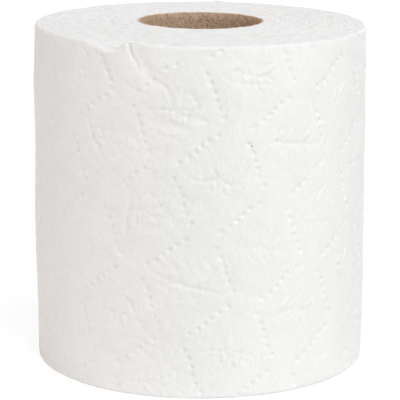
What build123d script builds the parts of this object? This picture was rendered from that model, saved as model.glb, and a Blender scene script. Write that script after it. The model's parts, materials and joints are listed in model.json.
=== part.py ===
from build123d import *
import math
import os

# A toilet paper roll: quilted tissue wound on a spirally wound cardboard core.
# Millimetres and degrees. The roll stands on one end, with its axis on Z and that end at Z = 0.
# Its front is at -Y. Places on the wall are unrolled: s runs round the wall from the front towards
# +X, and a drop is measured down from the top end.

# Roll
roll_diameter = 108.0  # over the last turn
sheet_width = 110.0  # along the axis, so it is the height of the standing roll
sheet_length = 110.0  # from one perforation to the next
sheet_thickness = 0.3  # the quilted sheet, as the last turn lies on the roll
tail_angle = 85.0  # direction of the free edge of the last sheet, at the back
rim_round = 1.8  # size of the soft rounding of both rims
rim_facets = 3  # straight bevels that make up the rounding

# Core
core_bore = 39.4
core_wall = 0.8
seam_pitch = 90.0  # rise of the butt seam of the inner ply in one turn
seam_width = 0.5
seam_depth = 0.25
seam_top_angle = 63.3  # where the seam comes out at the top end

# Turns, as they are drawn on the ends. Many more lie side by side there.
drawn_turns = 3
turn_groove_width = 0.6
turn_groove_depth = 0.35
turn_groove_margin = 1.2  # plain ring beside the core and beside the rounded rim

# Perforations
slit_length = 4.0
slit_bond = 1.0
slit_width = 0.5
slit_depth = 0.3
slit_rim_margin = 2.0
perforation_press = 0.02  # how far the wall is pressed flat along a perforation

# Quilting: the pressed lines of an ogee trellis, turned a little on the sheet. Each line swings
# out and back once in a trellis height, in two strokes that mirror each other.
trellis_width = 37.6
trellis_height = 33.6
trellis_turn = 17.3
trellis_s = 2.2  # a stroke starts at this place
trellis_drop = 8.2
stroke_swing = 9.1
stroke_fall = 11.4
stroke_width = 1.9
stroke_depth = 0.4
stroke_rim_margin = 1.0
stroke_tail_margin = 6.0  # plain strip beside the free edge

# Creases in the last turn, each from one place (s, drop) to another
creases = [
    ((-19.0, 4.5), (-14.5, 9.5)),
    ((-13.5, 11.0), (-7.5, 15.6)),
    ((-7.2, 16.0), (-3.6, 21.6)),
    ((-4.2, 17.4), (2.6, 23.2)),
]
crease_width = 1.4
crease_depth = 0.5

# Dent in the top rim, as left by a ball
dent_s = -29.6
dent_drop = 3.2  # down the wall
dent_reach = 2.4  # in over the end
dent_radius = 10.5

# How far a cutting solid stands clear of the surface that it cuts
clear = 0.3

roll_radius = roll_diameter / 2
core_radius = core_bore / 2 + core_wall
front_angle = -90.0
s_tail = math.radians(tail_angle - front_angle) * roll_radius
s_first = s_tail - 2 * math.pi * roll_radius


def unit(angle):
    """Unit vector in the XY plane at an angle from +X."""
    return Vector(math.cos(math.radians(angle)), math.sin(math.radians(angle)))


def spiral_quarters(outer_radius, end_angle, quarters, pitch):
    """Quarter arcs of a spiral that runs out to outer_radius at end_angle, from the last one inwards.

    The centres go round a square whose side is a quarter of the pitch, and each arc is larger by
    that side than the one before it, so they all join in line.
    """
    side = pitch / 4
    arcs = []
    for k in range(quarters):
        start = end_angle - 90 * (k + 1)
        centre = (unit(start + 90) - unit(start)) * (side / 2)
        arcs.append((centre, outer_radius - side * (k + 0.5), start))
    return arcs


wall_arcs = spiral_quarters(roll_radius, tail_angle, 4, sheet_thickness)


def place_on_wall(s, drop):
    """Location that touches the wall at (s, drop), with its z axis outwards and its y axis up."""
    angle = front_angle + math.degrees(s / roll_radius)
    centre, radius, start = wall_arcs[int((tail_angle - angle) % 360 // 90)]
    normal = unit(angle)
    origin = centre + normal * radius + Vector(0, 0, sheet_width - drop)
    return Plane(origin, x_dir=Vector(-normal.Y, normal.X, 0), z_dir=normal).location


def turned_quarter(corners, centre, start):
    """Quarter turn of an outline of (radius, height) corners about the upright axis at centre."""
    plane = Plane(centre, x_dir=unit(start), z_dir=unit(start - 90))
    section = plane * make_face(Polyline(corners, close=True))
    return revolve(section, Axis(centre, (0, 0, 1)), 90)


def rim_corners(radius, end, inward):
    """Corners of a rounded rim, which lie on a quarter circle, from the end face to the wall."""
    corners = []
    for n in range(rim_facets + 1):
        turn = math.radians(90 * n / rim_facets)
        across = radius - rim_round * (1 - math.sin(turn))
        corners.append((across, end + inward * rim_round * (1 - math.cos(turn))))
    return corners


def plain_winding():
    """The winding without its surface detail: one quarter for each arc of the last turn.

    Neighbouring quarters meet in one plane, and the step between the last and the first is the free
    edge of the sheet.
    """
    inner = core_radius / 2
    quarters = []
    for centre, radius, start in wall_arcs:
        bottom = [(inner, 0)] + rim_corners(radius, 0, 1)
        top = [(inner, sheet_width)] + rim_corners(radius, sheet_width, -1)
        quarters.append(turned_quarter(bottom + top[::-1], centre, start))
    hole = Pos(0, 0, sheet_width / 2) * Cylinder(core_radius, sheet_width + 2 * clear)
    return quarters[0].fuse(*quarters[1:]) - hole


def turn_grooves():
    """V-shaped grooves that follow the turns on both ends, a quarter turn each."""
    outer = roll_radius - rim_round - turn_groove_margin
    inner = core_radius + turn_groove_margin
    pitch = (outer - inner) / drawn_turns
    half = turn_groove_width / 2 * (1 + clear / turn_groove_depth)
    grooves = []
    for centre, radius, start in spiral_quarters(outer, tail_angle, 4 * drawn_turns, pitch):
        for end, inward in ((sheet_width, -1), (0, 1)):
            outside = end - inward * clear
            bottom = (radius, end + inward * turn_groove_depth)
            corners = [(radius - half, outside), (radius + half, outside), bottom]
            grooves.append(turned_quarter(corners, centre, start))
    return grooves


def blade(length, width, depth):
    """Boat-shaped solid along y on a plane that touches the wall, deepest at its middle."""
    half = width / 2 * (1 + clear / depth)
    reach = length / 2 * (1 + clear / depth)
    deck = Polyline((0, -reach), (half, 0), (0, reach), (-half, 0), close=True)
    return loft([Pos(0, 0, clear) * make_face(deck), Vertex(0, 0, -depth)])


def blade_on_wall(start, end, width, depth):
    """Blade whose cut runs from one place (s, drop) on the wall to another."""
    across = end[0] - start[0]
    down = end[1] - start[1]
    place = place_on_wall(start[0] + across / 2, start[1] + down / 2)
    lean = math.degrees(math.atan2(across, down))
    return place * Rot(0, 0, lean) * blade(math.hypot(across, down), width, depth)


def trellis_place(across, up):
    """Place (s, drop) of a point that is given in the trellis's own right and up directions."""
    turn = math.radians(trellis_turn)
    s = trellis_s + across * math.cos(turn) + up * math.sin(turn)
    drop = trellis_drop + across * math.sin(turn) - up * math.cos(turn)
    return s, drop


def fits_on_wall(start, end):
    """Whether a stroke keeps clear of both rims and of the free edge."""
    left, right = sorted((start[0], end[0]))
    beside = s_first + stroke_tail_margin < left and right < s_tail - stroke_tail_margin
    margin = rim_round + stroke_rim_margin
    return beside and margin < start[1] and end[1] < sheet_width - margin


def quilting():
    """Pressed strokes of the quilting."""
    reach = 2 * math.pi * roll_radius + sheet_width
    columns = int(2 * reach / trellis_width) + 1
    rows = int(reach / trellis_height) + 1
    strokes = []
    for column in range(-columns, columns + 1):
        for row in range(-rows, rows + 1):
            x = trellis_width / 2 * column
            y = trellis_height * (row + column % 2 / 2)
            for side, head in ((0, y), (stroke_swing, y - trellis_height / 2)):
                start = trellis_place(x + side, head)
                end = trellis_place(x + stroke_swing - side, head - stroke_fall)
                if fits_on_wall(start, end):
                    strokes.append(blade_on_wall(start, end, stroke_width, stroke_depth))
    return strokes


def perforations():
    """Pressed flats and slits of every perforation in the last turn."""
    slit = blade(slit_length, slit_width, slit_depth)
    pitch = slit_length + slit_bond
    room = sheet_width - 2 * (rim_round + slit_rim_margin)
    count = int((room + slit_bond) / pitch)
    first = (sheet_width - pitch * (count - 1)) / 2
    flat_width = 2 * math.sqrt(2 * roll_radius * perforation_press)
    press = Pos(0, 0, clear - perforation_press) * Box(2 * flat_width, room, 2 * clear)
    cuts = []
    for line in range(1, int((s_tail - s_first) / sheet_length) + 1):
        s = s_tail - sheet_length * line
        cuts.append(place_on_wall(s, sheet_width / 2) * press)
        cuts += [place_on_wall(s, first + pitch * n) * slit for n in range(count)]
    return cuts


def crease_cuts():
    """Creases of the last turn."""
    return [blade_on_wall(start, end, crease_width, crease_depth) for start, end in creases]


def rim_dent():
    """Ball that touches the wall dent_drop below the rim and the end dent_reach inside it."""
    across = math.hypot(dent_drop, dent_reach)
    lift = math.sqrt(dent_radius**2 - across**2 / 4)
    outwards = roll_radius - dent_reach / 2 + lift * dent_drop / across
    up = lift * dent_reach / across - dent_drop / 2
    return place_on_wall(dent_s, 0) * Pos(0, up, outwards - roll_radius) * Sphere(dent_radius)


def tissue_winding():
    cuts = turn_grooves() + perforations() + quilting() + crease_cuts()
    return plain_winding() - cuts - rim_dent()


def seam_cut():
    """V-shaped groove along the helical butt seam in the bore."""
    below = 2 * seam_width
    path = Helix(seam_pitch, sheet_width + 2 * below, core_bore / 2)
    half = seam_width / 2 * (1 + clear / seam_depth)
    section = make_face(Polyline((-clear, -half), (-clear, half), (seam_depth, 0), close=True))
    start = Plane(path @ 0, x_dir=(1, 0, 0), z_dir=path % 0)
    groove = sweep(start * section, path=path, is_frenet=True)
    bottom_angle = seam_top_angle - 360 * (sheet_width + below) / seam_pitch
    return Pos(0, 0, -below) * Rot(0, 0, bottom_angle) * groove


def cardboard_core():
    """Tube of wound board, cut off with the winding so that both ends are flush."""
    ring = Circle(core_radius) - Circle(core_bore / 2)
    return extrude(ring, sheet_width) - seam_cut()


pieces = {
    "cardboard_core": cardboard_core(),
    "tissue_winding": tissue_winding(),
}

os.makedirs("parts", exist_ok=True)
for name, piece in pieces.items():
    export_step(piece, f"parts/{name}.step")
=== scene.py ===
# %% [markdown]
# A toilet paper roll
#
# A long web of creped two-ply tissue is wound on a tube of greyboard and sawn off square. The solid
# model holds its sizes. This script gives it its looks: the embossed sheets of the last turn, the
# cut edges of the many turns on both ends, and the speckled board of the core.
# The solid model comes first, because every piece below takes its place and size from it.

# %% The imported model
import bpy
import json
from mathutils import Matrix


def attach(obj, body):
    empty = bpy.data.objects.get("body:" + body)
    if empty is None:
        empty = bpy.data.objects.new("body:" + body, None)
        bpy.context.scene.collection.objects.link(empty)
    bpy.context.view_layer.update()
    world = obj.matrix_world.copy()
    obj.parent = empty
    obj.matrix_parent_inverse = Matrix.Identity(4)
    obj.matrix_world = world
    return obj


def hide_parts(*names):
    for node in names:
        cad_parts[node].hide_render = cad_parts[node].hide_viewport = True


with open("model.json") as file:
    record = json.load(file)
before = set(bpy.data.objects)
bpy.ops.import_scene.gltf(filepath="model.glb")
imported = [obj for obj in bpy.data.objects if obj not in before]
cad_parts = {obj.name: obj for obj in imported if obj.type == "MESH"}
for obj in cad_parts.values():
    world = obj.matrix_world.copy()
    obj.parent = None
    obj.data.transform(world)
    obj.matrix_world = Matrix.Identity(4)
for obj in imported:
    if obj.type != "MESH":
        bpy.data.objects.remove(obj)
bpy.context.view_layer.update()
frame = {"nodes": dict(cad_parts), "record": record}

print("pieces in the packed model:", sorted(frame["nodes"]))

# %% The other modules
import json
import math
import bpy
import numpy as np
from mathutils import Matrix, Vector

print("Blender", bpy.app.version_string, "and numpy", np.__version__)

# %% [markdown]
# Sizes
#
# Blender works in metres. Paper is easier to think of in millimetres, so all shapes are worked out
# in millimetres here and turned to metres when they are put into a mesh.
# The large sizes are read from the solid model: its corners tell how far the last turn reaches, and
# in which direction the free edge of the last sheet lies, because the spiral is widest there.

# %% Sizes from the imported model
MM = 0.001


def corners_of(node):
    """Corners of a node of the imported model, one row each, in millimetres."""
    mesh = frame["nodes"][node].data
    flat = np.empty(3 * len(mesh.vertices))
    mesh.vertices.foreach_get("co", flat)
    return flat.reshape(-1, 3) / MM


winding_corners = corners_of("tissue_winding")
core_corners = corners_of("cardboard_core")
winding_reach = np.hypot(winding_corners[:, 0], winding_corners[:, 1])
core_reach = np.hypot(core_corners[:, 0], core_corners[:, 1])
widest = winding_corners[winding_reach.argmax()]

roll_radius = winding_reach.max()
sheet_width = winding_corners[:, 2].max()
core_radius = core_reach.max()
bore_radius = next(m["dims"]["r_mm"] for m in frame["record"]["mounts"] if m["kind"] == "bore")
tail_angle = math.atan2(widest[1], widest[0])
print(f"roll {2 * roll_radius:.1f} across and {sheet_width:.1f} high, core {2 * core_radius:.1f},",
      f"bore {2 * bore_radius:.1f}, free edge at {math.degrees(tail_angle):.1f} degrees")

# %% [markdown]
# Places on the roll
#
# A point of the last turn has two coordinates on the flat sheet: how far round it lies, and how far
# along the roll's axis. Drawing on the flat sheet and laying the drawing on the roll afterwards is
# much simpler than drawing on a cylinder, and it is what happens to the real paper.
# `around` is measured from the front of the roll, `along` from the middle of its height. Past the
# straight part of the wall, `along` carries on over the rounded rim and in over the end.
# The rims are drawn a little sharper than the bevels of the solid model: paper that is sawn off
# keeps a rounding of about a millimetre.

# %% From the flat sheet to the roll
sheet_length = 110.0
sheet_thickness = 0.3
rim_round = 1.1
front_angle = math.radians(-90)
mid_height = sheet_width / 2
straight_half = mid_height - rim_round
rim_arc = rim_round * math.pi / 2
tail_around = (tail_angle - front_angle) * roll_radius
turn_length = 2 * math.pi * roll_radius
first_around = tail_around - turn_length


def turn_radius(around):
    """Radius of the last turn: it loses one sheet thickness in each whole turn back from the tail."""
    return roll_radius - sheet_thickness * (tail_around - around) / turn_length


def laid_on_roll(around, along, lift):
    """Points of the wound surface, lifted off it along its normal.

    The section is a straight wall, then a quarter circle of radius rim_round, then a flat end that
    runs inwards. The bend angle is how far round the quarter circle a point has come, so the normal
    has the cosine of the bend outwards and its sine up, or down at the lower end.
    """
    end = np.sign(along)
    past = np.maximum(np.abs(along) - straight_half, 0)
    bend = np.minimum(past / rim_round, math.pi / 2)
    inwards = np.maximum(past - rim_arc, 0)
    radius = turn_radius(around) - rim_round * (1 - np.cos(bend)) - inwards + lift * np.cos(bend)
    straight = np.minimum(np.abs(along), straight_half)
    height = mid_height + end * (straight + (rim_round + lift) * np.sin(bend))
    angle = front_angle + around / roll_radius
    return np.stack([radius * np.cos(angle), radius * np.sin(angle), height], axis=-1)


print(f"the last turn is {turn_length:.1f} mm long, so it shows {turn_length / sheet_length:.2f} sheets")

# %% [markdown]
# Chance
#
# Paper is never quite even. Soft noise of several sizes gives it lumps, loose turns and uneven
# pressure. Blender has noise textures, but a mesh needs the heights themselves, so this is a
# gradient noise in numpy: every point of a square lattice gets a random slope, and between the
# points the planes with these slopes are blended. It has no flat squares, as a blend of random
# heights would. Each use has its own seed, so the script gives the same roll each time that it runs.

# %% Soft noise
noise_cells = 512
noise_gain = 1.8
sample_points = 200


def ease(t):
    """Smooth step from 0 to 1 with level ends: 6t^5 - 15t^4 + 10t^3, held at 0 and 1 outside."""
    t = np.clip(t, 0, 1)
    return t * t * t * (t * (6 * t - 15) + 10)


def soft_noise(x, y, seed, repeat=noise_cells):
    """Gradient noise, about -1 to 1, with a lattice spacing of 1, which repeats in y after some cells.

    At each lattice point the noise is zero and has a random slope of one length. Between four points
    it is the mean of their four planes, weighted by smooth steps.
    """
    table = np.random.default_rng(seed).uniform(0, 2 * math.pi, (noise_cells, noise_cells))
    slope_x, slope_y = np.cos(table), np.sin(table)
    column = np.floor(x).astype(int)
    row = np.floor(y).astype(int)
    right, above = x - column, y - row
    columns = (column % noise_cells, (column + 1) % noise_cells)
    rows = (row % repeat, (row + 1) % repeat)

    def plane(i, j):
        """The plane of one corner of the cell, at the wanted place."""
        where = (rows[j], columns[i])
        return slope_x[where] * (right - i) + slope_y[where] * (above - j)

    across, up = ease(right), ease(above)
    low = plane(0, 0) * (1 - across) + plane(1, 0) * across
    high = plane(0, 1) * (1 - across) + plane(1, 1) * across
    return noise_gain * (low * (1 - up) + high * up)


sample_side = np.linspace(0, 20, sample_points)
sample = soft_noise(*np.meshgrid(sample_side, sample_side), 1)
print(f"soft noise goes from {sample.min():.2f} to {sample.max():.2f}")

# %% [markdown]
# Out of true
#
# A roll that has been squeezed in its pack and carried home is no perfect cylinder. Its rim leans in
# a little at the top, its side swells here and is pressed in there, the turns near the core stand a
# little higher than the last ones, and the saw cut is not quite square.
# All pieces go through one function for this, so they stay together. It moves the last turn most,
# and leaves the core round.

# %% Wear of the whole roll
saw_slope = 0.0055
crown_height = 0.55
rim_lean = 0.3
rim_lean_reach = 13.0
swellings = [
    # middle (around, drop), reach (around, drop), height
    ((-80.0, 18.0), (24.0, 14.0), 0.45),
    ((-5.0, 0.0), (42.0, 5.5), -0.5),
    ((78.0, 26.0), (24.0, 26.0), -0.35),
    ((-80.0, 66.0), (24.0, 26.0), 0.3),
    ((80.0, 86.0), (24.0, 18.0), 0.2),
]


def out_of_true(points):
    """Points of the round roll, moved to where wear has brought them.

    The share of looseness grows from 0 at the core to 1 at the last turn. A point moves outwards by
    this share of the lean of the rim and of the swellings, which are bell curves, and upwards by
    what is left of the share, times the crown, less the slope of the saw cut.
    """
    x, y, z = points[..., 0], points[..., 1], points[..., 2]
    radius = np.hypot(x, y)
    around = roll_radius * np.arctan2(x, -y)
    drop = sheet_width - z
    loose = ease((radius - core_radius) / (roll_radius - core_radius))
    outwards = -rim_lean * np.exp(-((drop / rim_lean_reach) ** 2))
    for middle, reach, height in swellings:
        bell = ((around - middle[0]) / reach[0]) ** 2 + ((drop - middle[1]) / reach[1]) ** 2
        outwards = outwards + height * np.exp(-bell)
    stretch = 1 + loose * outwards / radius
    raised = z + z / sheet_width * (crown_height * (1 - loose) - saw_slope * x)
    return np.stack([x * stretch, y * stretch, raised], axis=-1)


front_rim = np.array([0.0, -roll_radius, sheet_width])
moved = np.linalg.norm(out_of_true(front_rim) - front_rim)
print(f"wear moves the upper rim at the front by {moved:.2f} mm")

# %% [markdown]
# Embossing
#
# Two plies are pressed together between engraved rollers. The pressed dots follow the lines of an
# ogee trellis, an old textile pattern of lines that swing out and back like onion domes. On this
# sheet it stands a little askew. Between the dots the plies are bonded in a shallow channel, and
# inside each mesh of the trellis the sheet stays puffed up.
# A dot is a dip with a faint raised lip. The pattern repeats, so a point of the sheet is first
# brought into one cell of the trellis and then measured against the dots of that one cell.

# %% The trellis
trellis_width = 37.6
trellis_height = 33.6
trellis_turn = math.radians(17.3)
trellis_around = 1.95
trellis_drop = 8.35
trellis_skew = 0.011
stroke_swing = 9.1
stroke_fall = 11.4
stroke_sway = 0.3
stroke_dots = 6


def on_trellis(around, along):
    """The trellis's own right and up coordinates: the flat sheet skewed and turned about its origin."""
    right = around - trellis_around
    down = mid_height - along - trellis_drop + trellis_skew * right
    across = right * math.cos(trellis_turn) + down * math.sin(trellis_turn)
    up = right * math.sin(trellis_turn) - down * math.cos(trellis_turn)
    return across, up


def wrapped(value, period):
    """A distance brought into the range from minus to plus half a period."""
    return value - period * np.round(value / period)


def trellis_dots():
    """Dots of one line from one head to the next: a stroke that swings out and its mirror image.

    Going down evenly, a stroke goes sideways by u + sway sin(2 pi u) / (2 pi) of its swing, so that
    it is steepest at its middle.
    """
    step = np.linspace(0, 1, stroke_dots)
    sideways = stroke_swing * (step + stroke_sway * np.sin(2 * math.pi * step) / (2 * math.pi))
    falling = -stroke_fall * step
    out = np.stack([sideways, falling], axis=1)
    back = np.stack([stroke_swing - sideways, falling - trellis_height / 2], axis=1)
    return out, back


strokes = trellis_dots()
sublattices = [(0, 0), (trellis_width / 2, trellis_height / 2)]
print("dots in a cell of the trellis:", len(sublattices) * sum(len(stroke) for stroke in strokes))

# %% Height of the embossing
dot_radius = 0.74
dot_depth = 0.46
dot_lip = 0.36
channel_radius = 1.7
channel_depth = 0.06
puff_reach = 6.0
puff_height = 0.12
stretch_size = 7.5
stretch_reach = 0.3


def to_segment(x, y, start, end):
    """Distance to a straight segment, and the share of its length at which the nearest point lies."""
    run = (end[0] - start[0], end[1] - start[1])
    share = ((x - start[0]) * run[0] + (y - start[1]) * run[1]) / (run[0] ** 2 + run[1] ** 2)
    share = np.clip(share, 0, 1)
    return np.hypot(x - start[0] - share * run[0], y - start[1] - share * run[1]), share


def stretched(around, along):
    """Places of the pattern on the flat sheet, which has stretched unevenly since it was embossed.

    Two soft noises, one for each direction, shift them to and fro.
    """
    x, y = around / stretch_size, along / stretch_size
    return around + stretch_reach * soft_noise(x, y, 15), along + stretch_reach * soft_noise(x, y, 16)


def embossing(around, along):
    """Dots, channels and puffed meshes of the trellis.

    A dot at a distance d is depth times exp(-q) times (lip q - 1), where q is d squared over the
    radius squared. A channel is a bell curve of the distance to the line, and the puff grows from
    the line into the mesh.
    """
    across, up = on_trellis(*stretched(around, along))
    to_dot = np.full(across.shape, trellis_width)
    to_line = np.full(across.shape, trellis_width)
    for shift_across, shift_up in sublattices:
        for stroke in strokes:
            middle = stroke.mean(axis=0)
            x = wrapped(across - shift_across - middle[0], trellis_width) + middle[0]
            y = wrapped(up - shift_up - middle[1], trellis_height) + middle[1]
            for dot in stroke:
                to_dot = np.minimum(to_dot, np.hypot(x - dot[0], y - dot[1]))
            for start, end in zip(stroke[:-1], stroke[1:]):
                to_line = np.minimum(to_line, to_segment(x, y, start, end)[0])
    q = (to_dot / dot_radius) ** 2
    dots = dot_depth * np.exp(-q) * (dot_lip * q - 1)
    channel = -channel_depth * np.exp(-((to_line / channel_radius) ** 2))
    puff = puff_height * (1 - np.exp(-((to_line / puff_reach) ** 2)))
    return dots, channel + puff


one_mesh = np.meshgrid(
    np.linspace(0, trellis_width, sample_points), np.linspace(0, trellis_height, sample_points))
pressed, puffed = embossing(*one_mesh)
print(f"dots are up to {-pressed.min():.2f} mm deep, and a mesh puffs up by {puffed.max():.2f} mm")

# %% [markdown]
# The sprig
#
# The middle of each mesh carries a plain sprig: a bowed stem with five leaves, all in pressed lines,
# with the leaves puffed up between them. A leaf in its own coordinates is a lens: its half width is
# a parabola of the distance from its foot, so the distance to its outline is nearly the half width
# less the distance from its midline. No curve has to be sampled for that, and the whole sheet is
# done in a few array operations.

# %% A leaf
sprig_line = 0.55
sprig_depth = 0.15
leaf_puff = 0.17


def leaf(x, y, length, half_width):
    """Pressed outline and puffed inside of a leaf that lies along x from its foot at the origin.

    The outline is a bell curve of the distance to the edge of the lens, and the inside a smooth step
    of the way in from that edge.
    """
    share = np.clip(x / length, 0, 1)
    beyond = np.maximum(np.maximum(-x, x - length), 0)
    edge = half_width * 4 * share * (1 - share)
    to_outline = np.hypot(np.abs(y) - edge, beyond)
    inside = ease((edge - np.abs(y)) / half_width) * (beyond == 0)
    return leaf_puff * inside - sprig_depth * np.exp(-((to_outline / sprig_line) ** 2))


print(f"a pressed line is {2 * sprig_line:.1f} mm wide, and a leaf puffs up by {leaf_puff} mm")

# %% Height of the sprig
sprig_place = (13.95, 2.2)
sprig_turn = math.radians(8)
stem_half = 8.6
stem_bow = 1.5
wilt_size = 6.5
wilt_reach = 1.0
wilt_shift = 9
faint_size = 8.0
faint_least = 0.3
faint_middle = 0.5
faint_swing = 0.8
leaves = [
    # foot on the stem, angle off it in degrees, length, half width
    (-5.6, 62, 5.6, 1.35),
    (-1.6, 74, 6.6, 1.55),
    (3.0, 52, 5.8, 1.4),
    (-3.2, -58, 4.8, 1.25),
    (1.6, -66, 5.2, 1.3),
]


def sprig(around, along):
    """The sprig in every mesh: a stem on a parabola, and leaves that leave it at their own angles.

    The places are shifted by a soft noise first, so no two sprigs look alike, and another noise
    makes parts of them faint.
    """
    x, y = around / wilt_size + wilt_shift, along / wilt_size
    across, up = on_trellis(
        around + wilt_reach * soft_noise(x, y, 32),
        along + wilt_reach * soft_noise(x, y, 33))
    clear = ease(faint_middle + faint_swing * soft_noise(around / faint_size, along / faint_size, 34))
    total = np.zeros(across.shape)
    for shift_across, shift_up in sublattices:
        a = wrapped(across - shift_across - sprig_place[0], trellis_width)
        b = wrapped(up - shift_up - sprig_place[1], trellis_height)
        x = a * math.cos(sprig_turn) + b * math.sin(sprig_turn)
        y = b * math.cos(sprig_turn) - a * math.sin(sprig_turn)
        beyond = np.maximum(np.abs(x) - stem_half, 0)
        to_stem = np.hypot(y - stem_bow * (1 - (x / stem_half) ** 2), beyond)
        total -= sprig_depth * np.exp(-((to_stem / sprig_line) ** 2))
        for foot, angle, length, half_width in leaves:
            turn = math.radians(angle)
            right = x - foot
            above = y - stem_bow * (1 - (foot / stem_half) ** 2)
            own_x = right * math.cos(turn) + above * math.sin(turn)
            own_y = above * math.cos(turn) - right * math.sin(turn)
            total += leaf(own_x, own_y, length, half_width)
    return total * (faint_least + (1 - faint_least) * clear)


drawn = sprig(*one_mesh)
print(f"the sprig goes from {drawn.min():.2f} to {drawn.max():.2f} mm")

# %% [markdown]
# Creases and pleats
#
# This roll has been squeezed in its pack. Its upper rim is dented at the left of the front, sharp
# creases run out of the dent to the right, and softer folds cross the sheet below. Each fold is a
# bell curve of the distance to a line of a few points, drawn on the flat sheet, and it fades out
# towards both ends. A fold of negative height is a crease.
# Short upright pleats in a row are a wave inside a soft window.

# %% Places of the folds
folds = [
    # points (around, drop below the end), half width, height
    ([(-23.4, -2.6), (-21.8, 3.0), (-18.6, 8.2)], 0.6, -0.85),
    ([(-21.6, -1.5), (-18.8, 4.6), (-15.4, 8.9), (-10.8, 12.8)], 2.2, -0.5),
    ([(-14.6, 9.6), (-11.0, 12.7), (-8.0, 15.2), (-6.1, 17.9)], 0.7, -0.26),
    ([(-4.6, 13.6), (-1.9, 15.6), (-0.4, 19.4)], 0.55, -0.24),
    ([(-24.6, 0.0), (-22.8, 2.4)], 0.6, 0.3),
    ([(-31.4, 4.6), (-29.7, 8.8), (-28.0, 12.2)], 0.6, -0.26),
    ([(-40.4, 2.8), (-37.2, 6.8)], 0.5, -0.28),
    ([(-37.9, 22.6), (-36.9, 27.0), (-33.5, 31.8), (-31.0, 37.6)], 0.7, -0.3),
    ([(-28.6, 33.6), (-24.0, 34.2), (-20.0, 35.4)], 0.8, -0.14),
    ([(-21.7, 44.6), (-22.8, 52.6), (-24.1, 60.6), (-25.6, 69.0)], 0.9, -0.32),
    ([(-19.0, 17.6), (-15.3, 20.1), (-11.6, 21.9)], 0.8, -0.24),
    ([(-15.6, 22.4), (-9.1, 24.1), (-2.8, 25.4)], 1.2, -0.3),
    ([(-11.8, 22.6), (-5.0, 23.0), (0.6, 24.0)], 0.8, 0.14),
    ([(-7.8, 20.4), (-1.6, 21.2), (4.1, 23.9)], 0.7, -0.22),
    ([(-17.6, 70.2), (-7.6, 72.7), (-1.5, 74.5), (6.6, 77.3)], 0.85, -0.28),
    ([(-15.6, 73.4), (-11.4, 75.4), (-7.4, 76.9)], 0.7, 0.12),
    ([(-8.2, 77.0), (-4.0, 78.5), (0.6, 77.6)], 0.9, -0.2),
    ([(-15.2, 44.9), (-12.2, 48.4), (-10.1, 52.2)], 0.7, -0.22),
    ([(-12.4, 45.4), (-10.2, 48.8)], 0.5, -0.12),
    ([(-19.4, 54.2), (-15.2, 56.2), (-12.0, 55.2)], 1.0, -0.2),
    ([(6.6, 9.1), (10.4, 11.1), (14.3, 10.9), (19.9, 12.3), (26.4, 12.7)], 0.7, -0.18),
    ([(7.4, 5.0), (11.9, 4.0), (16.6, 4.9), (21.8, 6.5)], 0.6, -0.12),
    ([(18.4, 28.7), (27.7, 30.5), (41.4, 32.2)], 0.5, -0.13),
    ([(32.2, 55.8), (39.0, 57.1), (46.8, 57.7)], 0.5, -0.14),
    ([(-1.2, 94.2), (5.0, 95.6), (14.0, 98.2), (19.4, 99.6)], 0.8, -0.14),
    ([(-68.0, 42.4), (-58.0, 44.0)], 0.5, -0.12),
    ([(-25.2, 78.4), (-22.4, 80.4), (-20.2, 84.0)], 0.6, -0.3),
]
pleats = [
    # middle (around, drop), half window (around, drop), spacing, slant, height
    ((-6.5, 67.6), (11.5, 2.8), 3.9, -0.5, 0.075),
    ((14.0, 68.0), (9.0, 2.4), 2.8, -0.4, 0.035),
    ((-13.5, 104.5), (5.5, 4.0), 2.8, -0.25, 0.06),
    ((-12.5, 15.6), (5.0, 2.6), 2.4, -0.2, 0.04),
]
deepest = -min(height for _, _, height in folds)
print(f"{len(folds)} folds, the deepest {deepest:.2f} mm, and {len(pleats)} rows of pleats")

# %% Height of the folds
fold_fade = 0.7
wander_sizes = [
    # size, reach, first seed
    (9.0, 0.7, 35),
    (3.2, 0.3, 37),
]
uneven_size = 3.5
uneven_share = 0.5


def fold(around, drop, points, half_width, height):
    """A fold along a line of points: a bell curve across it, and half a sine wave along it."""
    runs = np.linalg.norm(np.diff(np.array(points), axis=0), axis=1)
    before = np.concatenate([[0], np.cumsum(runs)])
    nearest = np.full(around.shape, turn_length)
    place = np.zeros(around.shape)
    for n, (start, end) in enumerate(zip(points[:-1], points[1:])):
        distance, share = to_segment(around, drop, start, end)
        closer = distance < nearest
        nearest = np.where(closer, distance, nearest)
        place = np.where(closer, (before[n] + share * runs[n]) / before[-1], place)
    return height * np.exp(-((nearest / half_width) ** 2)) * np.sin(math.pi * place) ** fold_fade


def pleat_row(around, drop, middle, window, spacing, slant, height):
    """A cosine across slanted lines, inside a bell-shaped window."""
    x = around - middle[0]
    y = drop - middle[1]
    inside = np.exp(-((x / window[0]) ** 4) - (y / window[1]) ** 2)
    return height * inside * np.cos(2 * math.pi * (x + slant * y) / spacing)


def handling(around, along):
    """All folds and pleats of the last turn.

    Their lines are not drawn with a ruler: two sizes of soft noise shift them to and fro, and a
    third makes them deeper and shallower.
    """
    drop = mid_height - along
    uneven = 1 + uneven_share * soft_noise(around / uneven_size, drop / uneven_size, 39)
    for size, reach, seed in wander_sizes:
        x, y = around / size, along / size
        around = around + reach * soft_noise(x, y, seed)
        drop = drop + reach * soft_noise(x, y, seed + 1)
    total = np.zeros(around.shape)
    for points, half_width, height in folds:
        total += fold(around, drop, points, half_width, height)
    for middle, window, spacing, slant, height in pleats:
        total += pleat_row(around, drop, middle, window, spacing, slant, height)
    return total * uneven


left_front = np.meshgrid(
    np.linspace(-trellis_width, 0, sample_points), np.linspace(0, mid_height, sample_points))
handled = handling(*left_front)
print(f"folds and pleats go from {handled.min():.2f} to {handled.max():.2f} mm")

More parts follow.
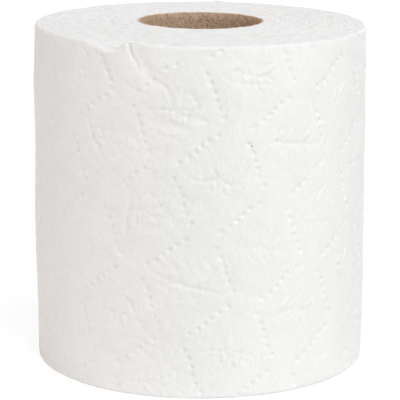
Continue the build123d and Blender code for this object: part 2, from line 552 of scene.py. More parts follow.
# %% [markdown]
# Lumps
#
# Paper that was wound and squeezed is soft and uneven all over. Soft noise of five sizes gives it
# that, from slack turns of a few centimetres down to uneven fibre of a millimetre. The sizes are
# added up, as in any natural surface: the smaller the size, the smaller its height.

# %% Height of the lumps
lump_sizes = [
    # size, height, seed
    (34.0, 0.18, 11),
    (13.0, 0.12, 12),
    (5.0, 0.065, 13),
    (2.2, 0.036, 14),
    (1.1, 0.026, 19),
]
squeeze_around = -14.0
squeeze_reach = 20.0
lump_extra = 0.35


def squeezed(around):
    """How much a place was squeezed: a bell curve round the roll, with its top beside the dent."""
    return np.exp(-(((around - squeeze_around) / squeeze_reach) ** 2))


def lumps(around, along):
    """Soft noise of several sizes, each with its own height, and more of it where it was squeezed."""
    total = np.zeros(around.shape)
    for size, height, seed in lump_sizes:
        total += height * soft_noise(around / size + seed, along / size, seed)
    return total * (1 + lump_extra * squeezed(around))


lumpy = lumps(*left_front)
print(f"lumps go from {lumpy.min():.2f} to {lumpy.max():.2f} mm")

# %% [markdown]
# Crumples
#
# Beside the dent the sheet has many short curved creases. They could be drawn one by one, as the
# folds are, but the lines where a soft noise passes zero wander, join and close as the creases of
# crumpled paper do, so the noise draws them. It is longer in one direction, which slants down to the
# right. A shift brings the stretch of the noise that looks best to the front of the roll.

# %% Height of the crumples
crumple_size = (13.0, 7.5)
crumple_share = 0.4
crumple_finer = 2.3
crumple_shift = 5
crumple_line = 0.3
crumple_depth = 0.07
crumple_lean = math.radians(-24)
patch_size = 12.0
patch_bias = 0.3
squeeze_extra = 1.0


def crumples(around, along):
    """Short curved creases, most of them beside the dent, where the roll was squeezed.

    A crease lies where a soft noise of two sizes passes zero: it is a bell curve of that noise. A
    second noise picks out the patches that have them.
    """
    right = around * math.cos(crumple_lean) + along * math.sin(crumple_lean)
    above = along * math.cos(crumple_lean) - around * math.sin(crumple_lean)
    x, y = right / crumple_size[0], above / crumple_size[1]
    field = soft_noise(x + crumple_shift, y, 17)
    finer = soft_noise(crumple_finer * x, crumple_finer * y + crumple_shift, 18)
    field = field + crumple_share * finer
    patch = ease(patch_bias + soft_noise(around / patch_size, along / patch_size, 20))
    depth = crumple_depth * patch * (1 + squeeze_extra * squeezed(around))
    return -depth * np.exp(-((field / crumple_line) ** 2))


print(f"crumples are up to {-crumples(*left_front).min():.2f} mm deep")

# %% [markdown]
# Perforations
#
# A toothed blade has slit the web once in each sheet length and left narrow bonds between the slits.
# The slits could be cut through the mesh, but the turn below is just as white, so a narrow furrow
# looks the same and keeps each sheet one closed shell.

# %% Depth of the slits
slit_length = 4.0
slit_bond = 1.0
slit_half_width = 0.3
slit_depth = 0.14
bond_half = 0.12


def slits(around, along):
    """Perforations: rows of slits with bonds left between them, one row each sheet length.

    A slit is a bell curve of the distance to its row, times a smooth step from its middle to the
    bond beside it.
    """
    to_row = wrapped(tail_around - around, sheet_length)
    in_slit = np.abs(wrapped(along, slit_length + slit_bond)) / (slit_length + slit_bond)
    open_share = ease((slit_length / (slit_length + slit_bond) / 2 - in_slit) / bond_half + 0.5)
    return -slit_depth * open_share * np.exp(-((to_row / slit_half_width) ** 2))


print(f"a row of perforations has about {sheet_width / (slit_length + slit_bond):.0f} slits")

# %% [markdown]
# The whole relief
#
# The relief of a sheet is the sum of all of these. The embossing is not equally crisp everywhere,
# because the rollers wear and the winding tension varies, so it is multiplied by a soft noise. On
# the left side of the roll half of it has been rubbed down.

# %% Relief of the sheet
crisp_size = 9.0
crisp_share = 0.25
crisp_shift = 7
rubbed_from = -100.0
rubbed_to = -36.0
rubbed_over = 12.0
rubbed_share = 0.5
rim_fade = 1.2
hidden_margin = 2.5


def relief(around, along):
    """Height of the sheet over the plain turn, in millimetres.

    It fades where the sheet goes over the rim, and where it lies hidden under the free edge.
    """
    dots, quilt = embossing(around, along)
    crisp = 1 + crisp_share * soft_noise(around / crisp_size, along / crisp_size + crisp_shift, 21)
    rubbed = ease((rubbed_to - around) / rubbed_over) * ease((around - rubbed_from) / rubbed_over)
    crisp = crisp * (1 - rubbed_share * rubbed)
    figure = sprig(around, along)
    creased = handling(around, along) + crumples(around, along)
    sheet = crisp * (dots + quilt + figure) + creased + slits(around, along)
    over_rim = ease((straight_half + rim_fade - np.abs(along)) / rim_fade)
    in_sight = ease((around - first_around + hidden_margin) / hidden_margin)
    return sheet * over_rim * in_sight + lumps(around, along)


whole = relief(*one_mesh)
print(f"the whole relief goes from {whole.min():.2f} to {whole.max():.2f} mm")

# %% [markdown]
# The dent
#
# Something has leaned on the upper rim, left of the front. The turns there have slid down over one
# another, the last one most, the wall below them is squashed a little and swells out, and the rim
# beside the dent is heaped up.
# The dent moves points by a smooth rule. That keeps the turns in order, where a boolean cut would
# slice through them, and the sheets and the turns below go through the same rule, so they stay
# together.

# %% Pressed rim
dent_from = -38.8
dent_to = -24.0
dent_drop = 2.9
dent_skew = 1.6
dent_edge = 0.75
dent_reach = 6.0
dent_fade = 4.4
slide_pitch = 2.2
slide_height = 0.26
swell_height = 0.4
swell_below = 0.5
swell_reach = 1.2
heap_around = -19.5
heap_half_width = 5.5
heap_height = 0.9


def dented(points):
    """Points near the upper rim, pressed down.

    From one end of the dent to the other, t from 0 to 1, the press is its drop times a power of
    sin(pi t^skew). It fades inwards as a bell curve and down the wall as exp(-drop / fade), and a
    cosine of the way in adds the small steps where turns slid over each other. Just below the
    pressed rim the wall swells out as a bell curve, and beside the dent the rim is heaped up as
    another one.
    """
    x, y, z = points[..., 0], points[..., 1], points[..., 2]
    radius = np.hypot(x, y)
    around = roll_radius * np.arctan2(x, -y)
    inwards = np.maximum(roll_radius - radius, 0)
    drop = np.maximum(sheet_width - z, 0)
    t = np.clip((around - dent_from) / (dent_to - dent_from), 0, 1)
    share = np.abs(np.sin(math.pi * t**dent_skew)) ** dent_edge
    fade = np.exp(-((inwards / dent_reach) ** 2)) * np.exp(-drop / dent_fade)
    slide = slide_height * np.cos(2 * math.pi * inwards / slide_pitch)
    down = share * (dent_drop + slide) * fade
    heap = heap_height * np.exp(-(((around - heap_around) / heap_half_width) ** 2)) * fade
    below = (drop + down - share * (dent_drop + swell_below)) / swell_reach
    swell = share * swell_height * np.exp(-(below**2)) * np.exp(-((inwards / swell_reach) ** 2))
    stretch = 1 + swell / radius
    return np.stack([x * stretch, y * stretch, z - down + heap], axis=-1)


across_dent = np.linspace(dent_from, dent_to, sample_points)
dent_rim = laid_on_roll(across_dent, np.full(sample_points, mid_height), 0)
print(f"the dent brings the rim down by up to {(dent_rim - dented(dent_rim))[:, 2].max():.2f} mm")

# %% [markdown]
# Grids to meshes
#
# Every surface here is a grid of points, so one helper numbers its quads. A quad runs first along
# its row, then to the next row, and its outside is where that order looks anticlockwise. A ring or a
# tube closes both ways, so another helper repeats the first row and the first column at the end.
# A mesh of this size is filled with `foreach_set`, which takes whole arrays. An angle limit keeps
# the cut edge of the paper crisp, and everything flatter is shaded smooth.

# %% Mesh helpers
crisp_edge = math.radians(50)


def grid_quads(numbers):
    """Quads of a grid, where numbers holds the point number of each place of the grid."""
    low, high = numbers[:-1], numbers[1:]
    return np.stack([low[:, :-1], low[:, 1:], high[:, 1:], high[:, :-1]], axis=-1).reshape(-1, 4)


def closed_numbers(shape):
    """Point numbers of a grid whose last row joins its first, and whose last column joins its first."""
    return np.pad(np.arange(shape[0] * shape[1]).reshape(shape), (0, 1), mode="wrap")


def add_piece(name, points, faces, materials, replaced, face_materials=None):
    """A mesh piece of the object, from points in millimetres and arrays of quads and triangles."""
    mesh = bpy.data.meshes.new(name)
    corners = np.concatenate([part.ravel() for part in faces]).astype(np.int32)
    sizes = np.concatenate([np.full(len(part), part.shape[1]) for part in faces]).astype(np.int32)
    starts = np.concatenate([[0], np.cumsum(sizes)[:-1]]).astype(np.int32)
    mesh.vertices.add(len(points))
    mesh.vertices.foreach_set("co", (points * MM).astype(np.float32).ravel())
    mesh.loops.add(len(corners))
    mesh.loops.foreach_set("vertex_index", corners)
    mesh.polygons.add(len(sizes))
    mesh.polygons.foreach_set("loop_start", starts)
    for material in materials:
        mesh.materials.append(material)
    if face_materials is not None:
        mesh.polygons.foreach_set("material_index", face_materials.astype(np.int32))
    mesh.update(calc_edges=True)
    mesh.validate()
    mesh.shade_smooth()
    mesh.set_sharp_from_angle(angle=crisp_edge)
    piece = bpy.data.objects.new(name, mesh)
    bpy.context.scene.collection.objects.link(piece)
    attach(piece, "root")
    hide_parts(replaced)
    print(f"{name}: {(sizes - 2).sum()} triangles")
    return piece


print(f"edges sharper than {math.degrees(crisp_edge):.0f} degrees stay crisp")

# %% [markdown]
# Colour
#
# Colours are written as in a paint program, in sRGB. A shader wants linear light, so one function
# turns them. One more function adds a node with its settings and links, and every material below is
# built with it.

# %% Colour and node helpers
def linear(code):
    """An sRGB colour code as linear red, green, blue and full opacity.

    Each part is a share of 255. Near black it is divided by a number, and above that it is shifted
    a little and raised to the power of 2.4.
    """
    parts = [int(code[n:n + 2], 16) / 255 for n in (1, 3, 5)]
    return [p / 12.92 if p <= 0.04045 else ((p + 0.055) / 1.055) ** 2.4 for p in parts] + [1.0]


def add_node(tree, kind, settings=None, inputs=None):
    """A node of a kind, with settings by name and inputs by name or number, as values or links."""
    node = tree.nodes.new(kind)
    for key, value in (settings or {}).items():
        setattr(node, key, value)
    for key, value in (inputs or {}).items():
        if isinstance(value, bpy.types.NodeSocket):
            tree.links.new(value, node.inputs[key])
        else:
            node.inputs[key].default_value = value
    return node


def new_material(name):
    """An empty node material and its tree."""
    material = bpy.data.materials.new(name)
    material.use_nodes = True
    material.node_tree.nodes.clear()
    return material, material.node_tree


print(f"the middle grey #808080 is {linear('#808080')[0]:.3f} in linear light")

# %% [markdown]
# Creped tissue
#
# Tissue is bleached pulp, scraped off a hot drum by a blade. The blade leaves crepe, fine ridges that
# lie parallel to the roll's axis, and it makes the sheet soft, matt and slightly see-through. It
# has no gloss: a rough surface with a low specular level and a little sheen, which is the fuzz of
# loose fibres. Light sinks in by about a third of a millimetre, which softens the shade in each dot.
# Crepe ridges are about 0.3 mm apart on the real sheet. They are drawn 0.6 mm apart, so that they
# still show from where the camera stands. A noise that is stretched along the axis makes them, and
# the colour of each hollow between them is painted a little darker, as shade where less light falls
# in. Fibres are drawn 0.18 mm across, several real ones to one, for the same reason.
# Here and there the pulp carries a fleck. The one large dark fleck sits where the roll has it.

# %% Colours and sizes in the tissue
tissue_white = "#F7F7F6"
tissue_shade = "#F1F1EF"
# painted shade in each crepe hollow: its colour, the range of the crepe noise that it takes, and its
# largest share
crepe_hollow_painted_shade = "#E3E3E1"
crepe_painted_shade_range = (0.62, 0.3)
crepe_painted_shade_share = 0.3
crepe_spacing = 0.6
crepe_length = 1.6
crepe_bump = (0.7, 0.11)  # strength, height
fibre_size = 0.18
fibre_bump = (0.6, 0.09)
cloud_size = 9.0
fleck_angle = math.radians(16.8)
fleck_height = 79.4
fleck_radius = 0.36
fleck_soft = (0.5, 1.3)  # full up to the first and gone from the second, in radii
fleck_brown = "#6E665E"
tissue_ior = 1.45
tissue_roughness = 0.92
tissue_specular = 0.25
fuzz_sheen = (0.08, 0.6)  # weight, roughness
light_sinks = (0.1, 0.3)  # share, depth
light_tint = (1.0, 0.95, 0.85)
print(f"{1 / crepe_spacing:.1f} ridges in a millimetre, and one fleck {2 * fleck_radius:.1f} mm across")

# %% The tissue's material
def creped_tissue():
    """Matt white creped tissue with fibres, faint clouds in the pulp, painted shade in each crepe hollow
    and one dark fleck.
    """
    material, tree = new_material("creped_two_ply_tissue")
    place = add_node(tree, "ShaderNodeTexCoord").outputs["Object"]
    ridges = (1 / (crepe_spacing * MM), 1 / (crepe_spacing * MM), 1 / (crepe_length * MM))
    drawn_out = add_node(tree, "ShaderNodeMapping", inputs={"Vector": place, "Scale": ridges})
    crepe = add_node(tree, "ShaderNodeTexNoise", inputs={
        "Vector": drawn_out.outputs[0], "Scale": 1.0, "Detail": 2.0, "Roughness": 0.5})
    fibres = add_node(tree, "ShaderNodeTexNoise", inputs={
        "Vector": place, "Scale": 1 / (fibre_size * MM), "Detail": 2.0})
    clouds = add_node(tree, "ShaderNodeTexNoise", inputs={
        "Vector": place, "Scale": 1 / (cloud_size * MM), "Detail": 3.0})
    clouded = add_node(tree, "ShaderNodeMix", {"data_type": "RGBA"}, {
        "Factor": clouds.outputs[0], "A": linear(tissue_shade), "B": linear(tissue_white)})
    # painted shade: how deep a place lies in a crepe hollow
    painted_hollow_shade = add_node(tree, "ShaderNodeMapRange", inputs={
        "Value": crepe.outputs[0], "From Min": crepe_painted_shade_range[0], "From Max": crepe_painted_shade_range[1],
        "To Max": crepe_painted_shade_share})
    # the pulp's colour: random clouds, with the painted shade of the crepe hollows mixed in
    pulp = add_node(tree, "ShaderNodeMix", {"data_type": "RGBA"}, {
        "Factor": painted_hollow_shade.outputs[0], "A": clouded.outputs["Result"], "B": linear(crepe_hollow_painted_shade)})
    fleck_place = (
        roll_radius * MM * math.sin(fleck_angle),
        -roll_radius * MM * math.cos(fleck_angle),
        fleck_height * MM,
    )
    to_fleck = add_node(tree, "ShaderNodeVectorMath", {"operation": "DISTANCE"}, {
        0: place, 1: fleck_place})
    fleck = add_node(tree, "ShaderNodeMapRange", inputs={
        "Value": to_fleck.outputs["Value"], "From Min": fleck_soft[0] * fleck_radius * MM,
        "From Max": fleck_soft[1] * fleck_radius * MM, "To Min": 1.0, "To Max": 0.0})
    colour = add_node(tree, "ShaderNodeMix", {"data_type": "RGBA"}, {
        "Factor": fleck.outputs[0], "A": pulp.outputs["Result"], "B": linear(fleck_brown)})
    fuzz = add_node(tree, "ShaderNodeBump", inputs={
        "Strength": fibre_bump[0], "Distance": fibre_bump[1] * MM, "Height": fibres.outputs[0]})
    bump = add_node(tree, "ShaderNodeBump", inputs={
        "Strength": crepe_bump[0], "Distance": crepe_bump[1] * MM, "Height": crepe.outputs[0],
        "Normal": fuzz.outputs[0]})
    paper = add_node(tree, "ShaderNodeBsdfPrincipled", inputs={
        "Base Color": colour.outputs["Result"], "Roughness": tissue_roughness, "IOR": tissue_ior,
        "Specular IOR Level": tissue_specular, "Sheen Weight": fuzz_sheen[0],
        "Sheen Roughness": fuzz_sheen[1], "Subsurface Weight": light_sinks[0],
        "Subsurface Scale": light_sinks[1] * MM, "Subsurface Radius": light_tint,
        "Normal": bump.outputs[0]})
    add_node(tree, "ShaderNodeOutputMaterial", inputs={"Surface": paper.outputs[0]})
    return material


tissue = creped_tissue()
print("made", tissue.name)

# %% [markdown]
# The sheets of the last turn
#
# The last turn shows three whole sheets and a strip of a fourth. Each is its own piece, so each
# stays small enough for a fine grid. A sheet reaches over the rounded rims, as far as its cut edge.
# The free edge was torn along a perforation. It keeps the stubs of the bonds, and it stands off the
# roll a little.

# %% Surface of a sheet
rim_cover = math.radians(50)
tail_lift = 0.55
tail_lift_reach = 9.0
stub_length = 0.35
stub_chance = 0.6
stub_reach = 1.5


def tail_stubs(along):
    """Stubs that stick out of the torn edge at each bond, with a little chance in their length.

    A stub is a bell curve of the distance to its bond, times 1 and a share of soft noise.
    """
    to_bond = np.abs(wrapped(along - (slit_length + slit_bond) / 2, slit_length + slit_bond))
    chance = 1 + stub_chance * soft_noise(along / slit_bond, along * 0, 31)
    return stub_length * chance * np.exp(-((to_bond / slit_bond) ** 2))


def sheet_points(start, end, rows, columns):
    """Outer and inner surface of a stretch of the last turn, in rows from its lower edge upwards.

    The lift is the relief plus a smooth step towards the free edge, and the inner surface is one
    sheet thickness less. Near the free edge the places move on round the roll by the stubs.
    """
    reach = straight_half + rim_round * rim_cover
    along, around = np.meshgrid(
        np.linspace(-reach, reach, rows + 1), np.linspace(start, end, columns + 1), indexing="ij")
    to_tail = tail_around - around
    lift = relief(around, along) + tail_lift * ease(1 - to_tail / tail_lift_reach)
    around = around + tail_stubs(along) * ease(1 - to_tail / stub_reach)
    return laid_on_roll(around, along, lift), laid_on_roll(around, along, lift - sheet_thickness)


print(f"the free edge stands off by {tail_lift} mm, and its stubs are about {stub_length} mm long")

# %% [markdown]
# Closed shells
#
# Each sheet is a closed shell of paper, so its edges have a real thickness. The Solidify modifier
# could make one, but its inside would be as fine as its outside, and nobody sees the inside. Here
# the outside has cells of about 0.37 mm, which is four across a dot, and the inside is six times
# coarser. The edge of the shell joins the two: of the six small steps along a coarse one, the first
# three lead to its start and the others to its end.

# %% Sheets
coarse = 6
cell = 0.37
under_tail = 8.0


def shell_edge(outer, inner):
    """Triangles that join the boundary of a fine outer grid to that of a coarse inner grid.

    Both boundaries are walked round the same way. Each fine step and the nearest coarse point make
    one triangle, and each coarse step and the fine point at its middle make another.
    """
    fine = np.concatenate([outer[0, :-1], outer[:-1, -1], outer[-1, :0:-1], outer[:0:-1, 0]])
    rough = np.concatenate([inner[0, :-1], inner[:-1, -1], inner[-1, :0:-1], inner[:0:-1, 0]])
    next_fine = np.roll(fine, -1)
    next_rough = np.roll(rough, -1)
    step = np.arange(len(fine))
    nearest = np.where(step % coarse < coarse // 2, rough[step // coarse], next_rough[step // coarse])
    wide = np.stack([next_fine, fine, nearest], axis=1)
    narrow = np.stack([fine[coarse // 2::coarse], rough, next_rough], axis=1)
    return wide, narrow


def add_sheet(name, start, end):
    """A closed shell of paper from one place round the roll to another, none of it below the floor."""
    columns = coarse * max(1, round((end - start) / cell / coarse))
    rows = coarse * round(2 * (straight_half + rim_round * rim_cover) / cell / coarse)
    outside, inside = sheet_points(start, end, rows, columns)
    outside = dented(outside)
    inside = dented(inside)[::coarse, ::coarse]
    outer = np.arange(outside[..., 0].size).reshape(outside.shape[:2])
    inner = np.arange(inside[..., 0].size).reshape(inside.shape[:2]) + outer.size
    wide, narrow = shell_edge(outer, inner)
    faces = [grid_quads(outer), grid_quads(inner)[:, ::-1], wide, narrow]
    points = out_of_true(np.concatenate([outside.reshape(-1, 3), inside.reshape(-1, 3)]))
    points[:, 2] = np.maximum(points[:, 2], 0)
    return add_piece(name, points, faces, [tissue], "tissue_winding")


tears = [tail_around - sheet_length * n for n in range(4)] + [first_around - under_tail]
for number, (end, start) in enumerate(zip(tears[:-1], tears[1:]), start=1):
    add_sheet(f"sheet_{number}", start, end)
print("sheets on the last turn:", len(tears) - 1)

# %% [markdown]
# Cut edges
#
# A saw cuts the long log of paper into rolls. On the ends the edges of a hundred turns lie side by
# side, about 0.3 mm apart, and here and there a few stand proud or slip back together. The end is as
# matt as the sheet, and its colour is painted a little greyer between the turns, as the shade where
# light is lost between them.
# The real spacing is too fine for a mesh of this size. The mesh has a spiral ridge every 0.6 mm, two
# turns drawn as one, and the material adds the single turns as bump, from the same spiral: the
# radius over the spacing, and the angle as a share of a whole turn.
# Where turns slipped together, a streak follows them, as bump and as painted shade of a darker grey.
# That is a noise in two lengths: the place on the end, measured in the streaks' length, plus the
# radius, measured in their width.

# %% Colours and sizes in the cut edges
edge_white = "#F7F7F7"
# painted shade between the turns, where light is lost
between_turns_painted_shade = "#ECECEB"
# painted shade, a darker grey, for the streaks where turns slipped together
streak_painted_shade = "#C6C6C4"
# the part of the spiral's wave that carries the painted shade between the turns
painted_shade_wave_range = (-1.0, 0.2)
turn_bump = (0.35, 0.06)  # strength, height
dust_size = 0.35
dust_bump = (0.7, 0.16)
slip_size = 2.5
slip_phase = 4.0
streak_width = 0.7
streak_length = 4.5
streak_bump = (0.8, 0.25)
# how much painted shade the streaks carry: the range of their noise that it takes, and its largest share
streak_painted_shade_range = (0.5, 0.25)
streak_painted_shade_share = 0.5
edge_roughness = 0.95
edge_specular = 0.2
edge_light_sinks = (0.15, 0.6)  # share, depth
print(f"{1 / sheet_thickness:.1f} turns in a millimetre, and streaks {streak_width} mm wide")

# %% The material of the ends
def cut_tissue():
    """Edges of the turns: matt white with painted shade between them, a bump line for each turn, and
    streaks along them, greyer with painted shade.
    """
    material, tree = new_material("sawn_tissue_edges")
    place = add_node(tree, "ShaderNodeTexCoord").outputs["Object"]
    split = add_node(tree, "ShaderNodeSeparateXYZ", inputs={0: place})
    flat = add_node(tree, "ShaderNodeCombineXYZ", inputs={
        "X": split.outputs["X"], "Y": split.outputs["Y"]})
    radius = add_node(tree, "ShaderNodeVectorMath", {"operation": "LENGTH"}, {0: flat.outputs[0]})
    angle = add_node(tree, "ShaderNodeMath", {"operation": "ARCTAN2"}, {
        0: split.outputs["Y"], 1: split.outputs["X"]})
    slip = add_node(tree, "ShaderNodeTexNoise", inputs={
        "Vector": place, "Scale": 1 / (slip_size * MM), "Detail": 2.0})
    rings = add_node(tree, "ShaderNodeMath", {"operation": "MULTIPLY_ADD"}, {
        0: radius.outputs["Value"], 1: 2 * math.pi / (sheet_thickness * MM), 2: angle.outputs[0]})
    shifted = add_node(tree, "ShaderNodeMath", {"operation": "MULTIPLY_ADD"}, {
        0: slip.outputs[0], 1: slip_phase, 2: rings.outputs[0]})
    wave = add_node(tree, "ShaderNodeMath", {"operation": "SINE"}, {0: shifted.outputs[0]})
    dust = add_node(tree, "ShaderNodeTexNoise", inputs={
        "Vector": place, "Scale": 1 / (dust_size * MM), "Detail": 3.0, "Roughness": 0.6})
    # painted shade: the spiral's wave darkens the colour between the turns
    between = add_node(tree, "ShaderNodeMapRange", inputs={
        "Value": wave.outputs[0], "From Min": painted_shade_wave_range[0], "From Max": painted_shade_wave_range[1]})
    turns = add_node(tree, "ShaderNodeMix", {"data_type": "RGBA"}, {
        "Factor": between.outputs[0], "A": linear(between_turns_painted_shade), "B": linear(edge_white)})
    long_way = add_node(tree, "ShaderNodeVectorMath", {"operation": "SCALE"}, {
        0: flat.outputs[0], "Scale": 1 / (streak_length * MM)})
    short_way = add_node(tree, "ShaderNodeMath", {"operation": "DIVIDE"}, {
        0: radius.outputs["Value"], 1: streak_width * MM})
    lift = add_node(tree, "ShaderNodeCombineXYZ", inputs={"Z": short_way.outputs[0]})
    along_turns = add_node(tree, "ShaderNodeVectorMath", {"operation": "ADD"}, {
        0: long_way.outputs[0], 1: lift.outputs[0]})
    streaks = add_node(tree, "ShaderNodeTexNoise", inputs={
        "Vector": along_turns.outputs[0], "Scale": 1.0, "Detail": 2.0, "Roughness": 0.6})
    # painted shade along the streaks
    painted_streak_shade = add_node(tree, "ShaderNodeMapRange", inputs={
        "Value": streaks.outputs[0], "From Min": streak_painted_shade_range[0], "From Max": streak_painted_shade_range[1],
        "To Max": streak_painted_shade_share})
    colour = add_node(tree, "ShaderNodeMix", {"data_type": "RGBA"}, {
        "Factor": painted_streak_shade.outputs[0], "A": turns.outputs["Result"], "B": linear(streak_painted_shade)})
    steps = add_node(tree, "ShaderNodeBump", inputs={
        "Strength": streak_bump[0], "Distance": streak_bump[1] * MM, "Height": streaks.outputs[0]})
    lines = add_node(tree, "ShaderNodeBump", inputs={
        "Strength": turn_bump[0], "Distance": turn_bump[1] * MM, "Height": wave.outputs[0],
        "Normal": steps.outputs[0]})
    bump = add_node(tree, "ShaderNodeBump", inputs={
        "Strength": dust_bump[0], "Distance": dust_bump[1] * MM, "Height": dust.outputs[0],
        "Normal": lines.outputs[0]})
    paper = add_node(tree, "ShaderNodeBsdfPrincipled", inputs={
        "Base Color": colour.outputs["Result"], "Roughness": edge_roughness, "IOR": tissue_ior,
        "Specular IOR Level": edge_specular, "Subsurface Weight": edge_light_sinks[0],
        "Subsurface Scale": edge_light_sinks[1] * MM, "Normal": bump.outputs[0]})
    add_node(tree, "ShaderNodeOutputMaterial", inputs={"Surface": paper.outputs[0]})
    return material


cut_edges = cut_tissue()
print("made", cut_edges.name)

# %% [markdown]
# The relief of an end
#
# The saw leaves the edges of the turns at slightly different heights. Fine turns, bands of turns that
# slipped together, and lumps are added up as on the sheets. The bands are a soft noise that is
# measured along the radius in millimetres and round the roll in shares of a turn, so it repeats
# after a whole turn and has no seam.
# The upper end also has a few small marks, each a round bell curve at its own place.

# %% Height of the turns on an end
drawn_pitch = 0.6
ridge_height = 0.035
bands = [
    # width, height, cells in a turn, seed
    (1.1, 0.08, 20, 6),
    (2.6, 0.1, 14, 7),
]
end_lumps = [
    # size, height, seed
    (9.0, 0.08, 1),
    (4.0, 0.08, 2),
    (2.0, 0.08, 3),
    (1.2, 0.06, 4),
]
end_shift = 60
ruffle_place = 8.0
ruffle_reach = 2.6
ruffle_width = 0.9
ruffle_cells = 90
ruffle_height = 0.12


def end_relief(around, radius, seed):
    """Height of an end, as a sum.

    A cosine of the spiral is the fine ridge, soft noise that is long round the end and short across
    it the bands of turns that slipped together, and soft noise of four sizes the lumps. A ring of
    turns at some way from the core is ruffled: short waves inside a bell curve of the radius.
    """
    share = (tail_around - around) / turn_length
    phase = 2 * math.pi * ((roll_radius - radius) / drawn_pitch - share)
    ridge = ridge_height * np.cos(phase)
    slipped = np.zeros(radius.shape)
    for width, height, cells, step in bands:
        slipped += height * soft_noise(radius / width, share * cells, seed + step, cells)
    angle = front_angle + around / roll_radius
    x = radius * np.cos(angle)
    y = radius * np.sin(angle)
    soft = np.zeros(radius.shape)
    for size, height, step in end_lumps:
        soft += height * soft_noise(x / size + end_shift, y / size + end_shift, seed + step)
    near_core = np.exp(-((radius - core_radius - ruffle_place) / ruffle_reach) ** 2)
    waves = soft_noise(radius / ruffle_width, share * ruffle_cells, seed + 5, ruffle_cells)
    return ridge + slipped + soft + ruffle_height * near_core * waves


paper_depth = roll_radius - core_radius
print(f"{paper_depth / sheet_thickness:.0f} turns on an end,",
      f"{paper_depth / drawn_pitch:.0f} drawn ridges")

# %% Small marks on the upper end
end_marks = [
    # place (x, y) on the upper end, reach, height
    ((-28.3, -6.2), 1.5, -0.3),
    ((-6.6, -29.4), 0.5, 0.22),
    ((-3.2, -30.3), 0.5, 0.22),
    ((22.7, -21.5), 0.7, 0.15),
]


def end_mark_relief(around, radius):
    """Small dents and flecks of the upper end, as round bell curves."""
    angle = front_angle + around / roll_radius
    total = np.zeros(radius.shape)
    for (x, y), reach, height in end_marks:
        away = np.hypot(radius * np.cos(angle) - x, radius * np.sin(angle) - y)
        total += height * np.exp(-((away / reach) ** 2))
    return total


print("marks on the upper end:", len(end_marks))

# %% [markdown]
# The turns below
#
# Under the sheets lies the rest of the winding. It is drawn as two closed rings that meet at half
# height, where the sheets hide the joint, because a fine end takes most of what one piece may hold.
# The section of a ring is one closed line: up the outside, under the sheet, out to the surface where
# the sheet ends, over the rest of the rim, in over the end, down beside the core, and back. The
# rows of the grid are the points of this line, its columns go once round, and the last column meets
# the first one in the step that the spiral makes at the free edge.

# %% Section of a ring
end_rows = 182
side_rows = 14
rim_rows = 8
hidden_depth = 0.9


def ring_section():
    """Places along the section: reach over the surface, depth under it, and the way in over the end.

    The reach goes from mid-height to the edge of the sheet, and from there over the rim to the end.
    """
    cover = straight_half + rim_round * rim_cover
    side = np.linspace(0, cover, side_rows)
    rim = np.linspace(cover, straight_half + rim_arc, rim_rows)
    reach = np.concatenate([side, rim, np.full(end_rows, straight_half + rim_arc)])
    depth = np.concatenate([np.full(side_rows, hidden_depth), np.zeros(rim_rows + end_rows)])
    inwards = np.concatenate([np.zeros(side_rows + rim_rows), np.arange(1, end_rows + 1) / end_rows])
    return reach, depth, inwards


print("points on the section of a ring:", len(ring_section()[0]))

# %% Rings
ring_columns = 468
bore_play = 0.02


def add_ring(name, end, seed):
    """Half of the winding below the last sheets, with its fine end at the top (1) or bottom (-1).

    The section is carried once round the roll and laid on it with the relief of the end as its lift.
    The last point of the section is the foot of the hole at half height.
    """
    reach, depth, inwards = ring_section()
    around = np.linspace(first_around, tail_around, ring_columns + 1)
    hole = core_radius + bore_play
    reach, around = np.meshgrid(reach, around, indexing="ij")
    depth = np.broadcast_to(depth[:, None], around.shape)
    inwards = np.broadcast_to(inwards[:, None], around.shape)
    width = turn_radius(around) - rim_round - hole
    along = reach + inwards * width
    on_end = ease((reach - straight_half) / rim_arc)
    radius = turn_radius(around) - rim_round - inwards * width
    height = end_relief(around, radius, seed) * on_end
    if end > 0:
        height = height + end_mark_relief(around, radius) * on_end
    height = np.where(depth > 0, -depth, height + lumps(around, end * reach) * (1 - on_end))
    height = np.where(inwards == 1, 0, height)
    points = dented(laid_on_roll(around, end * along, height))
    if end < 0:
        points[..., 2] = np.maximum(points[..., 2], 0)
    angle = front_angle + around[0] / roll_radius
    foot = np.stack([hole * np.cos(angle), hole * np.sin(angle), np.full(angle.shape, mid_height)], -1)
    points = out_of_true(np.concatenate([points, foot[None]]))
    if end < 0:
        points = points[::-1]
    quads = grid_quads(closed_numbers(points.shape[:2]))
    return add_piece(name, points.reshape(-1, 3), [quads], [cut_edges], "tissue_winding")


add_ring("turns_upper", 1, 41)
add_ring("turns_lower", -1, 51)
print(f"a ring has {ring_columns} columns, {turn_length / ring_columns:.2f} mm apart on the outside")

# %% [markdown]
# The core
#
# The core is wound from two strips of greyboard, in a helix, and glued. It is made of unsorted waste
# paper, so it is grey-brown with darker and paler specks. The edges of its inner strip meet in one
# helical seam, where a pale raw edge shows. The saw leaves its cut ends pale and a bit furry.
# One noise makes both kinds of specks: its low places are dark and its high places pale. The seam's
# colour follows a line of the mesh, so the material reads from a point attribute how near the seam
# is.

# %% The core's material
board_brown = "#BFA187"
board_dark = "#80664C"
board_pale = "#DCC8B2"
seam_pale = "#DCCCBA"
cut_pale = "#CBB9A6"
grain_size = 2.6
grain_range = (0.3, 0.7)
grain_share = 0.45
speck_size = 0.55
speck_bump = (0.5, 0.08)  # strength, height
dark_range = (0.46, 0.3)
pale_range = (0.55, 0.7)
pale_share = 0.85
board_ior = 1.5
board_roughness = 0.85
board_specular = 0.3


